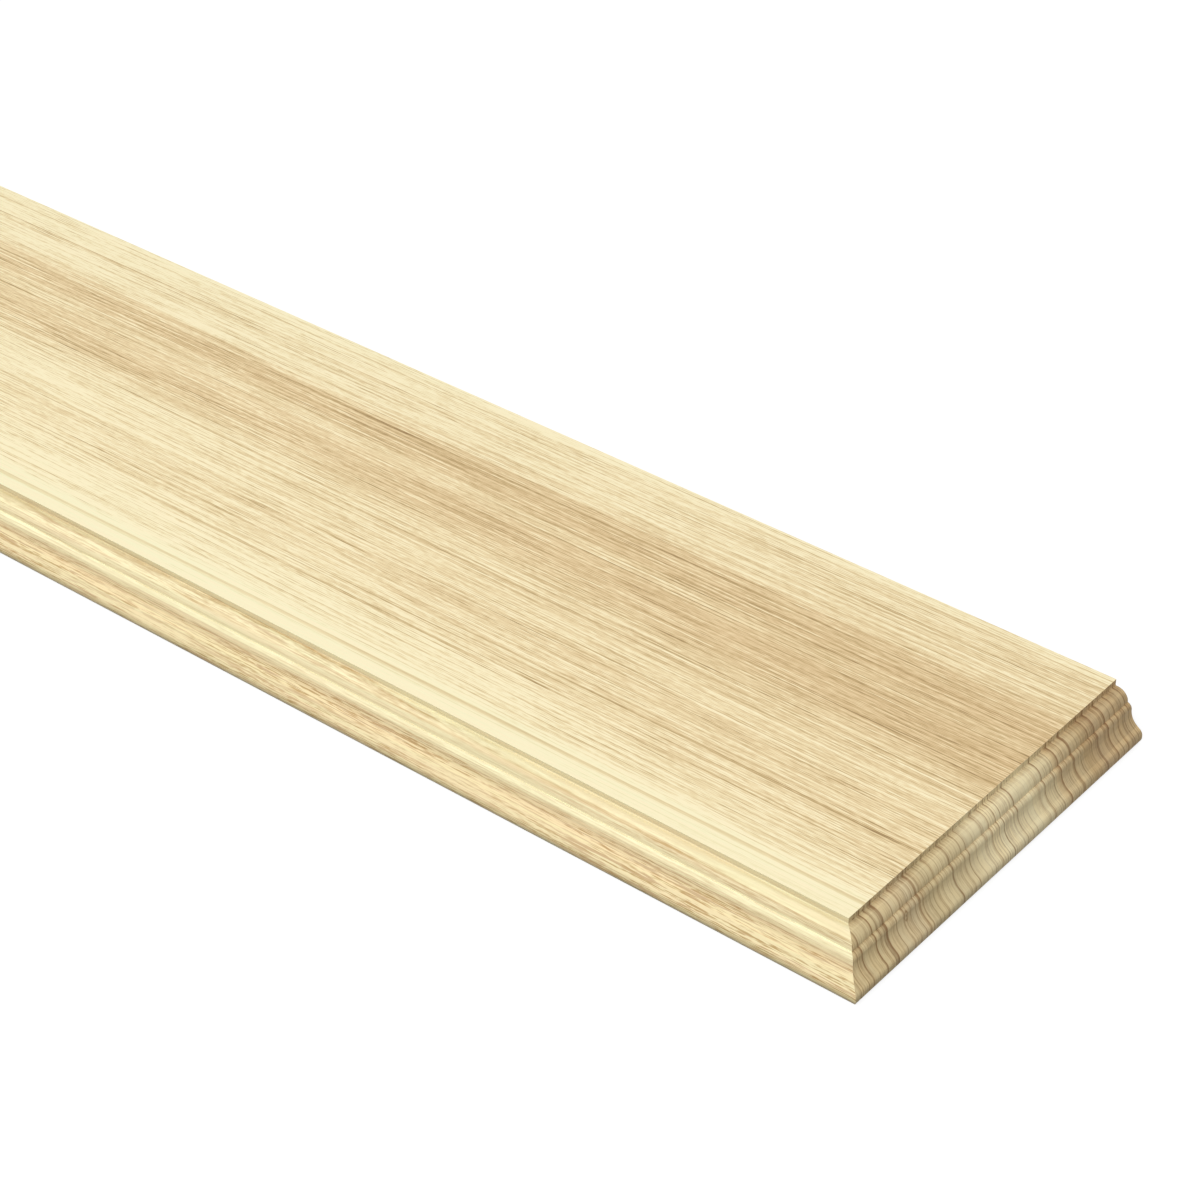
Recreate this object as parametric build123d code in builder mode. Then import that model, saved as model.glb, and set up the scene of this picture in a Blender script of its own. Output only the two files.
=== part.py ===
"""Window sill board: one solid board with a moulded front edge and a moulded return on its right end.

Millimetres. X runs along the board, with the returned end at +X. Y runs from the moulded front
at -Y to the square back edge at +Y. Z is up, and the origin is at the middle of the underside.
"""

from build123d import *

import os
from math import atan2, cos, degrees, radians, sin

# The stock, over everything
LENGTH = 1200.0
DEPTH = 220.0
THICKNESS = 28.0

# The moulding runs this far out from the edge of the flat top
MOULDING_PROJECTION = 16.0

# Its members, from the top edge down to the underside
FILLET_HEIGHT = 2.8
INNER_CORNER_RADIUS = 0.5
STEP_WIDTH = 0.4
OVOLO_RADIUS = 6.1
QUIRK_WIDTH = 0.4
BEAD_RADIUS = 3.2
BEAD_START_ANGLE = 24.0
OGEE_SLOPE_LENGTH = 2.0
OGEE_NOSE_RADIUS = 3.6
LAND_HEIGHT = 1.2
UNDER_ROUND_RADIUS = 3.0


def ogee_cove(run, drop):
    """Radius and turn of the large cove, so that the ogee fills a given run and drop.

    The ogee starts and ends upright: a cove, a straight slope tangent to it, and the round nose.
    The centres of cove and nose lie the sum of both radii apart, measured square to the slope.
    """
    both_radii = (run**2 + drop**2 - OGEE_SLOPE_LENGTH**2) / (2 * run)
    centre_line = atan2(drop, both_radii - run)
    turn = centre_line - atan2(OGEE_SLOPE_LENGTH, both_radii)
    return both_radii - OGEE_NOSE_RADIUS, degrees(turn)


def moulded_section(plane, span):
    """The board's outline across one direction: square at 0 and moulded at the span's far end."""
    top_edge = span - MOULDING_PROJECTION
    nose_bottom = UNDER_ROUND_RADIUS + LAND_HEIGHT
    bead_tangent = (cos(radians(BEAD_START_ANGLE)), -sin(radians(BEAD_START_ANGLE)))
    with BuildSketch(plane) as section:
        with BuildLine():
            fillet_face = Line((top_edge, THICKNESS), (top_edge, THICKNESS - FILLET_HEIGHT))
            inner_corner = JernArc(fillet_face @ 1, fillet_face % 1, INNER_CORNER_RADIUS, 90)
            step = Line(inner_corner @ 1, inner_corner @ 1 + Vector(STEP_WIDTH, 0))
            ovolo = JernArc(step @ 1, step % 1, OVOLO_RADIUS, -90)
            quirk = Line(ovolo @ 1, ovolo @ 1 + Vector(QUIRK_WIDTH, 0))
            bead = JernArc(quirk @ 1, bead_tangent, BEAD_RADIUS, BEAD_START_ANGLE - 90)
            bead_foot = bead @ 1
            cove_radius, cove_turn = ogee_cove(span - bead_foot.X, bead_foot.Y - nose_bottom)
            cove = JernArc(bead_foot, bead % 1, cove_radius, cove_turn)
            slope = PolarLine(cove @ 1, OGEE_SLOPE_LENGTH, direction=cove % 1)
            nose = JernArc(slope @ 1, slope % 1, OGEE_NOSE_RADIUS, -cove_turn)
            land = Line(nose @ 1, (span, UNDER_ROUND_RADIUS))
            under_round = JernArc(land @ 1, land % 1, UNDER_ROUND_RADIUS, -90)
            Polyline(under_round @ 1, (0, 0), (0, THICKNESS), fillet_face @ 0)
        make_face()
    return section.sketch


# Both sections are drawn from the back edge: one seen along the length, one along the depth
front_section_plane = Plane(origin=(LENGTH / 2, DEPTH / 2, 0), x_dir=(0, -1, 0), z_dir=(-1, 0, 0))
end_section_plane = Plane(origin=(-LENGTH / 2, DEPTH / 2, 0), x_dir=(1, 0, 0), z_dir=(0, -1, 0))

# The front moulding runs the full length, and what the end section leaves of it is the mitred return
with BuildPart() as sill_board:
    extrude(moulded_section(front_section_plane, DEPTH), amount=LENGTH)
    extrude(moulded_section(end_section_plane, LENGTH), amount=DEPTH, mode=Mode.INTERSECT)

sill_board.part.label = "sill_board"

os.makedirs("parts", exist_ok=True)
export_step(sill_board.part, "parts/sill_board.step")
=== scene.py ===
import math

import bpy
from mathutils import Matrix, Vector


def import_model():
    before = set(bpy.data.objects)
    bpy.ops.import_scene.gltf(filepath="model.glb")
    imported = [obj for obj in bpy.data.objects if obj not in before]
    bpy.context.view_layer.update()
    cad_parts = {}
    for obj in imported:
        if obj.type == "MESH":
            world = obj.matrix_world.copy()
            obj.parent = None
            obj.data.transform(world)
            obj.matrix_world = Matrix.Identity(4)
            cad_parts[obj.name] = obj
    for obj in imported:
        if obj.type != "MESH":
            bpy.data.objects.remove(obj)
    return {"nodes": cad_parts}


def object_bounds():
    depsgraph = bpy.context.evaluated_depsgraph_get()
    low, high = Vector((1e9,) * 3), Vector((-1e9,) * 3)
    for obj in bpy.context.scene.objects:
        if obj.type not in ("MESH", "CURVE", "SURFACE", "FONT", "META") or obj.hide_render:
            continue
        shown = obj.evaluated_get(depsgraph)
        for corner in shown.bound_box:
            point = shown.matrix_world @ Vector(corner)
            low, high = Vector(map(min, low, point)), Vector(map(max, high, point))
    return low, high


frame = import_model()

# Looks of the window sill board: pale, straight-grained timber, planed and left bare.
# Metres. The board lies along X with its moulded return at +X and its moulded front at -Y.
# The grain is worked out in mm: x as in the frame, across from the front edge, z from the underside.
cad_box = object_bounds()
low, high = cad_box

MM = 0.001
BOARD_DEPTH = (high.y - low.y) / MM
BOARD_THICKNESS = (high.z - low.z) / MM
MOULDING_PROJECTION = 16.0

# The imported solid's sharp arrises are eased a little: width in mm, and the angle that counts as sharp
EASED_ARRIS = 0.15
ARRIS_SEGMENTS = 2
SHARP_ANGLE = math.radians(35)
WELD_DISTANCE = 0.01

# The view, set from the near corner of the flat top: heading left of +Y and tilt down, in degrees
CAMERA_HEADING = 38.971
CAMERA_TILT = 35.778
CAMERA_LENS = 95.27
CAMERA_SENSOR_WIDTH = 36
CAMERA_REACH = 50
CAMERA_FROM_CORNER = Vector((0.5257, -0.8086, 0.8487))

# Soft light from all round above, and a wide lamp in front
AMBIENT_STRENGTH = 0.58
LAMP_POWER = 136.0
LAMP_PLACE = Vector((0.4, -3.4, 3.2))
LAMP_TARGET = Vector((0.35, 0.0, 0.0))
LAMP_SIZE = 3.0

# The floor is white where it is seen, keeps a faint shadow, and throws little light back
WHITE = (1.0, 1.0, 1.0, 1.0)
FLOOR_SIZE = 14.0
FLOOR_BOUNCE = (0.09, 0.09, 0.088, 1.0)
FLOOR_SHADE_SHARE = 0.24
FLOOR_GLOW = 1.12

# Noises are listed as the size of their blobs along x, across and z in mm, detail, roughness and
# strength. Patches are listed as the size of their blobs, and the noise values, from 0 to 1, at which
# a patch starts and is full. Half of all noise lies below the middle value.
NOISE_MIDDLE = 0.5

# The grain wanders a little from the board's edges and is ragged close up
GRAIN_WANDER = (
    ((900, 300, 200), 0.0, 0.5, 1.2),
    ((140, 20, 14), 0.0, 0.5, 0.18),
    ((11, 1.6, 2.5), 1.0, 0.5, 0.07),
)

# The finish: bare planed wood, with a fine relief along the grain
ROUGHNESS = 0.62
SPECULAR_LEVEL = 0.25
RELIEF_BLOBS = (16, 0.8, 1.2)
RELIEF_DEPTH = 0.2
RELIEF_STRENGTH = 0.4

# Growth rings: spacing in mm and unevenness
WIDE_RINGS = (3.4, 2.2)
NARROW_RINGS = (1.45, 2.0)
# The spacing wanders over this many rings
RINGS_IN_WANDER = 4
# Where in a ring its dark latewood rises and falls, from 0 to 1, and how sharply it rises
LATEWOOD_RISE = (0.35, 0.90)
LATEWOOD_FALL = (1.0, 0.92)
LATEWOOD_POWER = 2.0
# Chance values at which a ring is bare and at which it is darkest
RING_STRENGTHS = (0.1, 1.0)
# The boldest growth rings: distance from the front edge and width in mm, and darkness
BOLD_RINGS = (
    (30.8, 4.0, 1.0), (42.7, 1.6, 0.5), (50.9, 1.4, 0.8), (56.3, 1.6, 0.8), (78.4, 1.8, 0.7),
    (102.6, 1.6, 0.5), (117.1, 1.0, 0.9), (144.6, 2.0, 0.4), (162.5, 3.0, 1.0), (166.7, 1.0, 0.5),
    (171.7, 1.4, 0.8), (177.9, 1.6, 0.7), (192.0, 2.6, 0.8), (200.4, 1.4, 0.6), (205.0, 1.2, 0.7),
    (208.8, 1.6, 0.7), (214.2, 1.6, 0.9), (217.5, 1.2, 0.8),
)
# A bold ring ends within these distances behind its darkest line, in mm
BOLD_RING_END = (0.45, 0.05)

# Tone of the top by distance from the front edge in mm, 0 dark and 1 light
TOP_BANDS = (
    (0, 1.14), (29, 1.12), (31, 1.06), (33, 1.0), (46, 0.94), (56, 0.88), (70, 0.82), (96, 0.83),
    (112, 0.82), (118, 0.79), (124, 0.71), (132, 0.64), (142, 0.62), (147, 0.64), (152, 0.72), (156, 0.73),
    (160, 0.63), (165, 0.58), (170, 0.65), (177.5, 0.68), (179, 0.80), (188, 0.87), (196, 0.87),
    (212, 0.90), (220, 1.0),
)
# Colour of the top by tone
TOP_GRAIN = (
    (0.00, (0.33, 0.195, 0.085)),
    (0.30, (0.53, 0.358, 0.165)),
    (0.50, (0.67, 0.489, 0.252)),
    (0.70, (0.80, 0.622, 0.352)),
    (0.90, (0.92, 0.788, 0.478)),
    (1.00, (0.985, 0.905, 0.60)),
)
# How strongly the lines show on the top by distance from the front edge in mm
TOP_LINES = ((0, 0.25), (28, 0.25), (31, 0.8), (42, 1.0), (220, 1.0))
TOP_LINE_NOISES = (
    ((1500, 0.8, 14), 1.0, 0.6, 0.44),
    ((110, 1.1, 14), 1.0, 0.6, 0.60),
    ((45, 0.6, 3), 1.0, 0.6, 0.68),
    ((16, 0.5, 1.5), 1.0, 0.6, 0.44),
    ((4, 0.45, 0.6), 0.0, 0.6, 0.38),
)
# Wide rings come and go, and short dashes gather where the broad figure is busy
RING_PATCHES = ((160, 5, 40), 0.38, 0.58)
DASHES = ((30, 0.6, 1.5), 0.40, 0.27)
STROKES = ((55, 0.45, 2), 0.38, 0.27)
BROAD_FIGURE = (400, 9, 60)
BUSY_FIGURE = (0.62, 0.38)
# What each of these does to the tone of the top, and the lift that makes up for it
TOP_WIDE_RINGS = -0.30
TOP_NARROW_RINGS = -0.24
TOP_BOLD_RINGS = -0.08
TOP_DASHES = -0.40
TOP_STROKES = -0.32
TOP_LIFT = 0.13
TOP_CONTRAST = 1.18
TOP_BROAD_FIGURE = 0.22
# The top darkens towards the return: span along x in mm, and tone
TOP_FADE_SPAN = (-100, 600)
TOP_FADE = -0.16
# Darker lines on the top are greyer than the broad bands, and lighter lines are warmer
GREY_LINE_TINT = (0.97, 1.02, 1.02, 1.0)
WARM_LINE_TINT = (1.03, 0.98, 0.98, 1.0)
LINE_TINT_SPAN = (-0.45, 0.45)
# One soft ring shows in the pale wood near the front: distance from the front edge in mm where x is 0,
# drift in mm for every mm along the board, how far round it in mm it rises and falls, tone and tint
PALE_RING = 23.7
PALE_RING_DRIFT = 0.006
PALE_RING_RISE = (-2.6, 0.3)
PALE_RING_FALL = (1.0, 0.3)
PALE_RING_TONE = -0.33
PALE_RING_TINT = -0.4

# The moulded front cuts through paler and darker layers, with painted shade that darkens it near the
# underside and in the band at the foot of the fillet: colour by height above the underside in mm
FRONT_LAYERS_AND_SHADE = (
    (0.0, (0.62, 0.53, 0.32)),
    (1.5, (0.55, 0.48, 0.33)),
    (2.7, (0.54, 0.47, 0.29)),
    (3.6, (0.79, 0.67, 0.37)),
    (5.0, (0.80, 0.67, 0.39)),
    (6.5, (0.86, 0.73, 0.44)),
    (8.0, (0.83, 0.71, 0.43)),
    (9.0, (0.90, 0.76, 0.45)),
    (11.0, (0.90, 0.74, 0.44)),
    (12.0, (0.80, 0.65, 0.37)),
    (13.8, (0.82, 0.67, 0.40)),
    (14.1, (0.74, 0.60, 0.36)),
    (14.5, (0.88, 0.73, 0.44)),
    (15.7, (0.97, 0.84, 0.52)),
    (16.5, (0.90, 0.78, 0.49)),
    (17.5, (0.97, 0.88, 0.56)),
    (18.6, (0.97, 0.91, 0.61)),
    (19.4, (0.84, 0.735, 0.445)),
    (21.8, (0.88, 0.77, 0.48)),
    (22.5, (0.95, 0.84, 0.53)),
    (23.2, (0.99, 0.89, 0.56)),
    (24.3, (0.96, 0.87, 0.56)),
    (24.7, (0.92, 0.83, 0.53)),
    (25.1, (0.77, 0.68, 0.43)),
    (25.5, (0.67, 0.59, 0.38)),
    (26.0, (0.73, 0.63, 0.39)),
    (26.5, (0.80, 0.69, 0.42)),
    (28.0, (0.74, 0.655, 0.42)),
)
# How strongly the lines show on the front, by height above the underside in mm
FRONT_LINES = (
    (0, 0.4), (3, 0.75), (4, 1.0), (5.5, 0.8), (8.5, 0.6), (11, 0.65), (12.5, 1.0), (14, 0.6), (15.5, 0.29),
    (17, 0.12), (19, 0.12), (20, 0.23), (22, 0.24), (24.2, 0.27), (25, 0.22), (26, 0.22), (28, 0.22),
)
FRONT_LINE_NOISES = (
    ((42, 3, 0.55), 2.0, 0.6, 6.0),
    ((11, 1, 0.4), 1.0, 0.6, 5.0),
    ((3.5, 0.6, 0.35), 0.0, 0.6, 1.9),
)
FRONT_BROAD_NOISES = (((400, 3, 0.9), 1.0, 0.5, 0.8),)
FRONT_DARKNESS = 0.14
# The lines are weaker and stronger in patches
FRONT_PATCHES = ((150, 6, 5), 0.35, 0.65)
FRONT_PATCH_STRENGTHS = (0.55, 1.45)
# Tan streaks follow the lines: their patches, colour and strength, and the heights, going down, at
# which they start and are full
TAN_PATCHES = ((28, 4, 0.65), 0.55, 0.62)
TAN_DETAIL = {"detail": 2.0, "roughness": 0.6}
TAN_STREAK = (0.60, 0.43, 0.24, 1.0)
TAN_STRENGTH = 1.4
TAN_START = (25.2, 24.4)
# Darker wood takes less from red than from blue
LONG_LATEWOOD = (0.60, 0.47, 0.345, 1.0)
# Along the front the wood turns greener or pinker
FRONT_WARMTH = ((70, 3, 1.1), 0.38, 0.62)
GREEN_TINT = (0.985, 1.01, 1.0, 1.0)
PINK_TINT = (1.01, 0.985, 0.98, 1.0)

# One layer sinks as it runs along the front: height of its crest where x is 0, and fall for every mm
CREST_HEIGHT = 27.0
CREST_FALL = 0.0083
# The crest's dark line: where it rises and ends in mm above the crest, the heights between which it
# shows, and darkness
CREST_RISE = (-0.8, 0.0)
CREST_END = (0.6, 0.1)
CREST_FOOT = (19.0, 20.5)
CREST_HEAD = (26.6, 25.9)
CREST_DARKNESS = 0.26
# The wood is plainer above the crest, where this share of the lines is left
PLAIN_ABOVE = (1.2, 0.2)
PLAIN_STRENGTH = 0.35
# Below the crest the wood is darker in two bands on the ovolo: where they start in mm above the crest,
# the heights of their foot and head, and darkness
BELOW_CREST = (0.8, 0.1)
HIGH_BAND_FOOT = (23.2, 24.2)
HIGH_BAND_HEAD = (25.6, 25.0)
HIGH_BAND_DARKNESS = 0.25
LOW_BAND_FOOT = (18.8, 19.4)
LOW_BAND_HEAD = (24.0, 23.2)
# The lower one is palest well below the crest: span in mm above the crest, and darkness at both ends
LOW_BAND_SPAN = (-4.0, -1.0)
LOW_BAND_DARKNESS = (-0.14, 0.24)

# Colour of the cut ends by distance from the front edge in mm
END_LAYERS = (
    (0, (0.69, 0.55, 0.30)),
    (24, (0.69, 0.55, 0.30)),
    (42, (0.72, 0.59, 0.35)),
    (52, (0.74, 0.60, 0.35)),
    (61, (0.66, 0.53, 0.29)),
    (71, (0.75, 0.63, 0.37)),
    (81, (0.72, 0.60, 0.35)),
    (92, (0.77, 0.65, 0.39)),
    (101, (0.87, 0.74, 0.45)),
    (122, (0.93, 0.81, 0.51)),
    (132, (0.87, 0.74, 0.45)),
    (143, (0.91, 0.79, 0.49)),
    (151, (0.82, 0.68, 0.40)),
    (157.8, (0.84, 0.69, 0.40)),
    (158.8, (0.78, 0.61, 0.34)),
    (172, (0.75, 0.59, 0.33)),
    (182, (0.67, 0.50, 0.26)),
    (192, (0.62, 0.45, 0.24)),
    (201, (0.70, 0.52, 0.28)),
    (220, (0.68, 0.50, 0.26)),
)
# Painted shade on the cut ends by height above the underside in mm: darker near the underside, on the
# bead's crown and the quirk, and on the level step at the foot of the fillet
END_PAINTED_SHADE = (
    (0, 0.12), (3, 0.12), (3.8, 0.0), (10, 0.04), (12, 0.04), (14, 0.0), (16.2, 0.0), (17, 0.17),
    (18.2, 0.17), (18.45, 0.25), (18.75, 0.25), (18.9, 0.03), (24.3, 0.0), (24.5, 0.15), (24.9, 0.2),
    (25.3, 0.05), (28, 0.0),
)
# Lines that stand through the whole thickness, and short pores
END_LINE_NOISES = (
    ((1, 4.5, 60), 2.0, 0.6, 0.70),
    ((1, 1.1, 30), 1.0, 0.6, 1.10),
)
END_PORE_NOISES = (((3, 0.6, 2.5), 1.0, 0.5, 0.50),)
END_WIDE_RINGS = 0.56
END_NARROW_RINGS = 0.46
END_BOLD_RINGS = 0.75
# The colour the cut ends darken towards, for latewood, pores, the knot and flecks, and for the painted
# shade by height
END_LATEWOOD_AND_SHADE = (0.42, 0.31, 0.24, 1.0)
# Torn flecks along the fillet: their patches, the heights at which they start and are full, and darkness
FLECKS = ((2, 1.3, 1.0), 0.60, 0.70)
FLECK_START = (24.9, 25.4)
FLECK_DARKNESS = 0.60
# Between the rings the wood turns greyer or browner
END_WARMTH = ((1, 7, 50), 0.38, 0.62)
GREY_TINT = (0.99, 1.0, 1.02, 1.0)
BROWN_TINT = (1.01, 0.99, 0.965, 1.0)
# A pin knot in the moulded end: distance from the front edge, height, and half its width and height in mm
KNOT = (44.0, 15.0, 1.3, 2.4)
# Its rim and centre, counted from the middle as shares of those halves
KNOT_RIM_INSIDE = (0.55, 0.85)
KNOT_RIM_OUTSIDE = (1.2, 0.95)
KNOT_CENTRE = (0.35, 0.15)
KNOT_DARKNESS = 0.50

# How far below the top face in mm its grain starts and is full, and how far behind its front edge
TOP_FACE = (0.35, 0.05)
FLAT_TOP = (0.2, 1.0)
# How far up the normal points on a level step, and how much more a face turns along x than along y
# where it counts as an end
LEVEL_STEP = (0.97, 0.995)
TURNED_TO_END = (0.02, 0.10)
# Half the width in mm of the change of grain at the mitre
MITRE_SOFTNESS = 0.05

# A Mix node's sockets for colours: the factor and both colours, and the result
MIX_INPUTS = (0, 6, 7)
MIX_RESULT = 2


class Graph:
    """Adds nodes to one material and links them. Every method but add returns an output socket."""

    def __init__(self, tree):
        self.tree = tree

    def add(self, kind, inputs=(), **settings):
        node = self.tree.nodes.new(kind)
        for name, value in settings.items():
            setattr(node, name, value)
        for key, value in dict(inputs).items():
            if isinstance(value, bpy.types.NodeSocket):
                self.tree.links.new(value, node.inputs[key])
            else:
                node.inputs[key].default_value = value
        return node

    def math(self, operation, first, second=0.0):
        return self.add("ShaderNodeMath", {0: first, 1: second}, operation=operation).outputs[0]

    def plus(self, first, *others):
        for other in others:
            first = self.math("ADD", first, other)
        return first

    def times(self, first, *others):
        for other in others:
            first = self.math("MULTIPLY", first, other)
        return first

    def smooth(self, value, start, end, low=0.0, high=1.0):
        """A soft step from low at start to high at end"""
        node = self.add(
            "ShaderNodeMapRange",
            {"Value": value, "From Min": start, "From Max": end, "To Min": low, "To Max": high},
            interpolation_type="SMOOTHSTEP",
        )
        return node.outputs["Result"]

    def band(self, value, foot, head):
        """1 between two soft steps, and 0 below the first and above the second"""
        return self.times(self.smooth(value, *foot), self.smooth(value, *head))

    def vector(self, x, y, z):
        return self.add("ShaderNodeCombineXYZ", {0: x, 1: y, 2: z}).outputs[0]

    def noise(self, place, sizes, detail=1.0, roughness=0.5):
        """Soft noise from 0 to 1 with blobs of the given sizes"""
        x, y, z = (self.times(part, 1 / size) for part, size in zip(place, sizes))
        inputs = {"Vector": self.vector(x, y, z), "Scale": 1.0, "Detail": detail, "Roughness": roughness}
        return self.add("ShaderNodeTexNoise", inputs).outputs["Fac"]

    def noises(self, place, rows):
        """The sum of several noises, each centred on 0 and with its own strength"""
        total = 0.0
        for sizes, detail, roughness, amount in rows:
            push = self.math("SUBTRACT", self.noise(place, sizes, detail, roughness), NOISE_MIDDLE)
            total = self.plus(total, self.times(push, amount))
        return total

    def patches(self, place, sizes, start, end, low=0.0, high=1.0, **noise_settings):
        return self.smooth(self.noise(place, sizes, **noise_settings), start, end, low, high)

    def mix(self, factor, first, second, blend="MIX"):
        node = self.add("ShaderNodeMix", data_type="RGBA", blend_type=blend)
        for key, value in zip(MIX_INPUTS, (factor, first, second)):
            if isinstance(value, bpy.types.NodeSocket):
                self.tree.links.new(value, node.inputs[key])
            else:
                node.inputs[key].default_value = value
        return node.outputs[MIX_RESULT]

    def tint(self, colour, by):
        return self.mix(1.0, colour, by, blend="MULTIPLY")

    def ramp(self, factor, stops):
        """A colour ramp. Its new stops come in at the middle and are then set in order."""
        node = self.add("ShaderNodeValToRGB", {"Fac": factor})
        elements = node.color_ramp.elements
        while len(elements) < len(stops):
            elements.new(0.5)
        for element, (place, colour) in zip(elements, stops):
            element.position = place
            element.color = (*colour, 1.0)
        return node.outputs["Color"]

    def colours(self, value, span, stops):
        """A colour that changes with a length in mm"""
        return self.ramp(self.times(value, 1 / span), [(at / span, colour) for at, colour in stops])

    def tones(self, value, span, stops):
        """A tone that changes with a length in mm"""
        return self.colours(value, span, [(at, (tone, tone, tone)) for at, tone in stops])


def growth_rings(graph, across, spacing, unevenness):
    """Latewood lines, soft on one side and sharp on the other, each ring with a strength of its own"""
    wander = ((1, spacing * RINGS_IN_WANDER, 1), 1.0, 0.5, unevenness)
    count = graph.plus(graph.times(across, 1 / spacing), graph.noises((0.0, across, 0.0), (wander,)))
    number = graph.math("FLOOR", count)
    through = graph.math("FRACT", count)
    chance = graph.add("ShaderNodeTexWhiteNoise", {"W": number}, noise_dimensions="1D").outputs["Value"]
    rise = graph.math("POWER", graph.smooth(through, *LATEWOOD_RISE), LATEWOOD_POWER)
    return graph.times(rise, graph.smooth(through, *LATEWOOD_FALL), graph.smooth(chance, *RING_STRENGTHS))


def bold_rings(graph, across):
    """The few wide, dark rings that catch the eye"""
    start, end = BOLD_RING_END
    total = 0.0
    for at, width, darkness in BOLD_RINGS:
        rise = graph.smooth(across, at - width, at)
        fall = graph.smooth(across, at + start, at + end, high=darkness)
        total = graph.math("MAXIMUM", total, graph.times(rise, rise, fall))
    return total


def pin_knot(graph, across, z):
    """Dark rim and centre of a pin knot, 0 away from it"""
    at, height, half_width, half_height = KNOT
    beside = graph.times(graph.plus(across, -at), 1 / half_width)
    above = graph.times(graph.plus(z, -height), 1 / half_height)
    away = graph.math("SQRT", graph.plus(graph.times(beside, beside), graph.times(above, above)))
    rim = graph.band(away, KNOT_RIM_INSIDE, KNOT_RIM_OUTSIDE)
    return graph.math("MAXIMUM", rim, graph.smooth(away, *KNOT_CENTRE))


def top_lines(graph, grain, broad):
    """Fine lines, rings and short dashes along the board, below 0 where they are dark"""
    across = grain[1]
    wide = graph.times(growth_rings(graph, across, *WIDE_RINGS), graph.patches(grain, *RING_PATCHES))
    dashes = graph.times(graph.patches(grain, *DASHES), graph.smooth(broad, *BUSY_FIGURE))
    return graph.plus(
        graph.noises(grain, TOP_LINE_NOISES),
        graph.times(wide, TOP_WIDE_RINGS),
        graph.times(growth_rings(graph, across, *NARROW_RINGS), TOP_NARROW_RINGS),
        graph.times(bold_rings(graph, across), TOP_BOLD_RINGS),
        graph.times(dashes, TOP_DASHES),
        graph.times(graph.patches(grain, *STROKES), TOP_STROKES),
        TOP_LIFT,
    )


def top_grain(graph, grain):
    """Colour of the flat top, where the growth rings run as straight streaks along the board"""
    x, across, z = grain
    broad = graph.noise(grain, BROAD_FIGURE)
    lines = top_lines(graph, grain, broad)
    beyond = graph.plus(across, -PALE_RING, graph.times(x, -PALE_RING_DRIFT))
    pale_ring = graph.band(beyond, PALE_RING_RISE, PALE_RING_FALL)
    tone = graph.plus(
        graph.tones(across, BOARD_DEPTH, TOP_BANDS),
        graph.times(pale_ring, PALE_RING_TONE),
        graph.times(graph.math("SUBTRACT", broad, NOISE_MIDDLE), TOP_BROAD_FIGURE),
        graph.smooth(x, *TOP_FADE_SPAN, high=TOP_FADE),
        graph.times(lines, graph.tones(across, BOARD_DEPTH, TOP_LINES), TOP_CONTRAST),
    )
    warmth = graph.smooth(graph.plus(lines, graph.times(pale_ring, PALE_RING_TINT)), *LINE_TINT_SPAN)
    return graph.tint(graph.ramp(tone, TOP_GRAIN), graph.mix(warmth, GREY_LINE_TINT, WARM_LINE_TINT))


def sinking_layer(graph, z, over):
    """Darkness of the layer that sinks through the ovolo; over is the height above its crest in mm"""
    crest = graph.times(graph.band(over, CREST_RISE, CREST_END), graph.band(z, CREST_FOOT, CREST_HEAD))
    below = graph.smooth(over, *BELOW_CREST)
    high_band = graph.times(graph.band(z, HIGH_BAND_FOOT, HIGH_BAND_HEAD), below)
    low_band = graph.times(graph.band(z, LOW_BAND_FOOT, LOW_BAND_HEAD), below)
    return graph.plus(
        graph.times(crest, CREST_DARKNESS),
        graph.times(high_band, HIGH_BAND_DARKNESS),
        graph.times(low_band, graph.smooth(over, *LOW_BAND_SPAN, *LOW_BAND_DARKNESS)),
    )


def front_grain(graph, grain):
    """Colour of the moulded front, cut nearly along the rings: soft layers with tan streaks, and painted
    shade near the underside and at the foot of the fillet
    """
    x, across, z = grain
    over = graph.plus(z, -CREST_HEIGHT, graph.times(x, CREST_FALL))
    strength = graph.times(
        graph.tones(z, BOARD_THICKNESS, FRONT_LINES),
        graph.patches(grain, *FRONT_PATCHES, *FRONT_PATCH_STRENGTHS),
        graph.smooth(over, *PLAIN_ABOVE, low=PLAIN_STRENGTH),
    )
    darkness = graph.plus(
        graph.noises(grain, FRONT_BROAD_NOISES),
        graph.times(graph.noises(grain, FRONT_LINE_NOISES), strength),
        sinking_layer(graph, z, over),
        FRONT_DARKNESS,
    )
    # Layers by height, with painted shade near the underside and at the foot of the fillet
    layers = graph.colours(z, BOARD_THICKNESS, FRONT_LAYERS_AND_SHADE)
    layers = graph.tint(layers, graph.mix(darkness, WHITE, LONG_LATEWOOD))
    warmth = graph.patches(grain, *FRONT_WARMTH)
    layers = graph.tint(layers, graph.mix(warmth, GREEN_TINT, PINK_TINT))
    tan = graph.patches(grain, *TAN_PATCHES, **TAN_DETAIL)
    streaks = graph.times(tan, strength, graph.smooth(z, *TAN_START, high=TAN_STRENGTH))
    return graph.mix(streaks, layers, TAN_STREAK)


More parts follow.
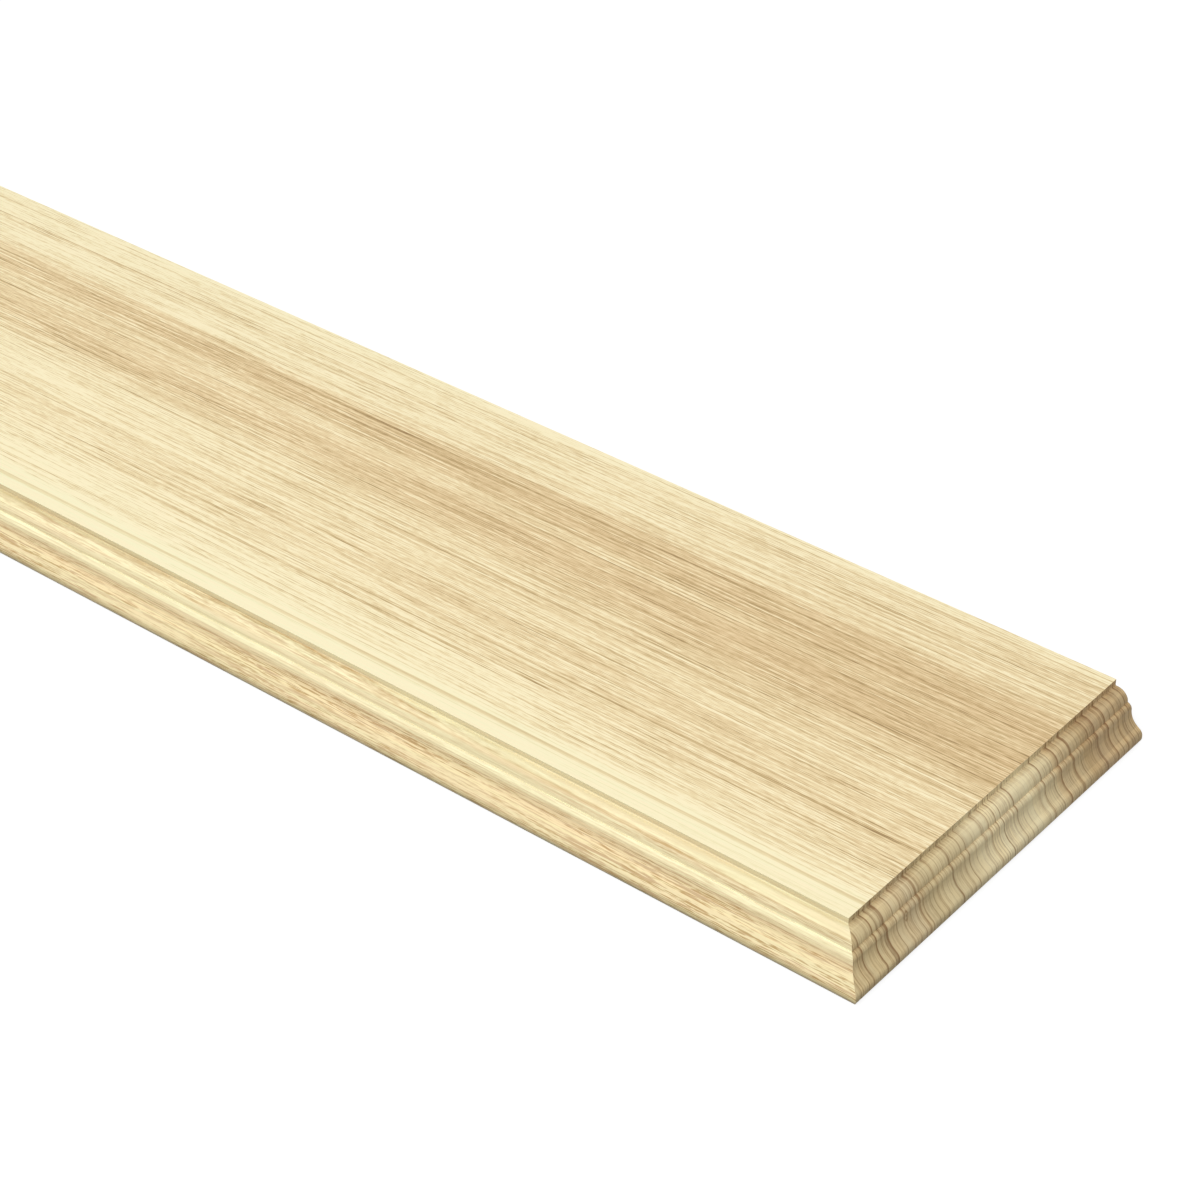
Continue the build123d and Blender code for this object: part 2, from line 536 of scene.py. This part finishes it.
def end_grain(graph, place, across):
    """Colour of the cut ends, where the same rings cross the thickness as many fine upright lines, with
    painted shade by height
    """
    z = place[2]
    stack = (0.0, across, z)
    flecks = graph.times(graph.patches(place, *FLECKS, detail=0.0), graph.smooth(z, *FLECK_START))
    # Darkness from the grain marks, and painted shade by height
    darkness = graph.plus(
        graph.noises(stack, END_LINE_NOISES),
        graph.noises(place, END_PORE_NOISES),
        graph.times(growth_rings(graph, across, *WIDE_RINGS), END_WIDE_RINGS),
        graph.times(growth_rings(graph, across, *NARROW_RINGS), END_NARROW_RINGS),
        graph.times(bold_rings(graph, across), END_BOLD_RINGS),
        graph.times(pin_knot(graph, across, z), KNOT_DARKNESS),
        graph.times(flecks, FLECK_DARKNESS),
        # Painted shade by height: underside, bead's crown, quirk and the level step at the fillet's foot
        graph.tones(z, BOARD_THICKNESS, END_PAINTED_SHADE),
    )
    layers = graph.colours(across, BOARD_DEPTH, END_LAYERS)
    warmth = graph.patches(stack, *END_WARMTH)
    layers = graph.tint(layers, graph.mix(warmth, GREY_TINT, BROWN_TINT))
    return graph.tint(layers, graph.mix(darkness, WHITE, END_LATEWOOD_AND_SHADE))


def place_in_mm(graph):
    """The point on the board in mm: along it, from its front edge, and from its underside"""
    point = graph.add("ShaderNodeTexCoord").outputs["Object"]
    split = graph.add("ShaderNodeSeparateXYZ", {0: point})
    x, y, z = (graph.times(split.outputs[axis], 1 / MM) for axis in range(3))
    return x, graph.plus(y, -low.y / MM), z


def height_of_top(graph, z):
    """1 at the height of the flat top, and 0 below it"""
    start, full = TOP_FACE
    return graph.smooth(z, BOARD_THICKNESS - start, BOARD_THICKNESS - full)


def share_of_top(graph, y, at_top):
    """1 on the flat top and on all that lies behind its front edge, and 0 on the moulded front"""
    start, full = FLAT_TOP
    behind_edge = graph.smooth(y, MOULDING_PROJECTION + start, MOULDING_PROJECTION + full)
    return graph.math("MAXIMUM", at_top, behind_edge)


def share_of_end(graph, place, at_top):
    """1 on the square end and on the return, whose level steps lie behind the mitre at 45 degrees"""
    x, y, z = place
    normal = graph.add("ShaderNodeNewGeometry").outputs["True Normal"]
    facing = graph.add("ShaderNodeSeparateXYZ", {0: normal})
    facing_x = graph.math("ABSOLUTE", facing.outputs[0])
    facing_y = graph.math("ABSOLUTE", facing.outputs[1])
    turned = graph.smooth(graph.math("SUBTRACT", facing_x, facing_y), *TURNED_TO_END)
    behind_mitre = graph.smooth(graph.plus(x, y, -high.x / MM), -MITRE_SOFTNESS, MITRE_SOFTNESS)
    level = graph.times(graph.smooth(facing.outputs[2], *LEVEL_STEP), graph.math("SUBTRACT", 1.0, at_top))
    return graph.math("MAXIMUM", turned, graph.times(level, behind_mitre))


def timber():
    """Quarter-sawn board: growth rings stand upright, so they run as streaks along the top"""
    material = bpy.data.materials.new("timber")
    material.use_nodes = True
    tree = material.node_tree
    graph = Graph(tree)
    place = place_in_mm(graph)
    x, y, z = place
    across = graph.plus(y, graph.noises(place, GRAIN_WANDER))
    grain = (x, across, z)

    at_top = height_of_top(graph, z)
    on_top = share_of_top(graph, y, at_top)
    long_grain = graph.mix(on_top, front_grain(graph, grain), top_grain(graph, grain))
    on_end = share_of_end(graph, place, at_top)
    colour = graph.mix(on_end, long_grain, end_grain(graph, place, across))

    relief = graph.noise(grain, RELIEF_BLOBS)
    bump_inputs = {"Height": relief, "Strength": RELIEF_STRENGTH, "Distance": RELIEF_DEPTH * MM}
    bump = graph.add("ShaderNodeBump", bump_inputs)
    shader = tree.nodes["Principled BSDF"]
    tree.links.new(colour, shader.inputs["Base Color"])
    tree.links.new(bump.outputs["Normal"], shader.inputs["Normal"])
    shader.inputs["Roughness"].default_value = ROUGHNESS
    shader.inputs["Specular IOR Level"].default_value = SPECULAR_LEVEL
    return material


def dress_board():
    """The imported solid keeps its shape; its sharp arrises are eased as sandpaper leaves them"""
    board = frame["nodes"]["sill_board"]
    board.material_slots[0].material = timber()
    weld = board.modifiers.new("weld", "WELD")
    weld.merge_threshold = WELD_DISTANCE * MM
    ease = board.modifiers.new("eased_arrises", "BEVEL")
    ease.width = EASED_ARRIS * MM
    ease.segments = ARRIS_SEGMENTS
    ease.limit_method = "ANGLE"
    ease.angle_limit = SHARP_ANGLE
    ease.harden_normals = True


def seen_rays(graph):
    """1 for rays from the camera, reflections and glass, 0 for light that falls on the object"""
    path = graph.add("ShaderNodeLightPath")
    seen = graph.math("MAXIMUM", path.outputs["Is Camera Ray"], path.outputs["Is Glossy Ray"])
    return graph.math("MAXIMUM", seen, path.outputs["Is Transmission Ray"])


def floor_material():
    material = bpy.data.materials.new("pale_floor")
    material.use_nodes = True
    tree = material.node_tree
    tree.nodes.clear()
    graph = Graph(tree)
    bounce = graph.add("ShaderNodeBsdfDiffuse", {"Color": FLOOR_BOUNCE}).outputs[0]
    shaded = graph.add("ShaderNodeBsdfDiffuse", {"Color": WHITE}).outputs[0]
    white = graph.add("ShaderNodeEmission", {"Color": WHITE, "Strength": FLOOR_GLOW}).outputs[0]
    seen_floor = graph.add("ShaderNodeMixShader", {0: FLOOR_SHADE_SHARE, 1: white, 2: shaded}).outputs[0]
    shader = graph.add("ShaderNodeMixShader", {0: seen_rays(graph), 1: bounce, 2: seen_floor})
    graph.add("ShaderNodeOutputMaterial", {"Surface": shader.outputs[0]})
    return material


def floor():
    half = FLOOR_SIZE / 2
    corners = [(-half, -half, 0), (half, -half, 0), (half, half, 0), (-half, half, 0)]
    mesh = bpy.data.meshes.new("floor")
    mesh.from_pydata(corners, [], [(0, 1, 2, 3)])
    mesh.materials.append(floor_material())
    piece = bpy.data.objects.new("floor", mesh)
    bpy.context.scene.collection.objects.link(piece)


def world():
    sky = bpy.data.worlds.new("studio")
    bpy.context.scene.world = sky
    sky.use_nodes = True
    tree = sky.node_tree
    tree.nodes.clear()
    graph = Graph(tree)
    strength = graph.plus(graph.times(seen_rays(graph), 1 - AMBIENT_STRENGTH), AMBIENT_STRENGTH)
    background = graph.add("ShaderNodeBackground", {"Color": WHITE, "Strength": strength})
    graph.add("ShaderNodeOutputWorld", {"Surface": background.outputs[0]})


def lamp():
    light = bpy.data.lights.new("lamp", "AREA")
    light.size = LAMP_SIZE
    light.energy = LAMP_POWER
    holder = bpy.data.objects.new("lamp", light)
    holder.location = LAMP_PLACE
    holder.rotation_euler = (LAMP_TARGET - LAMP_PLACE).to_track_quat("-Z", "Y").to_euler()
    bpy.context.scene.collection.objects.link(holder)


def camera():
    data = bpy.data.cameras.new("camera")
    data.lens = CAMERA_LENS
    data.sensor_width = CAMERA_SENSOR_WIDTH
    data.clip_end = CAMERA_REACH
    projection = MOULDING_PROJECTION * MM
    corner = Vector((high.x - projection, low.y + projection, high.z))
    holder = bpy.data.objects.new("camera", data)
    holder.location = corner + CAMERA_FROM_CORNER
    holder.rotation_euler = (math.radians(90 - CAMERA_TILT), 0, math.radians(CAMERA_HEADING))
    bpy.context.scene.collection.objects.link(holder)
    bpy.context.scene.camera = holder


bpy.context.scene.view_settings.view_transform = "Standard"
camera()
world()
lamp()
floor()
dress_board()

bpy.context.view_layer.update()
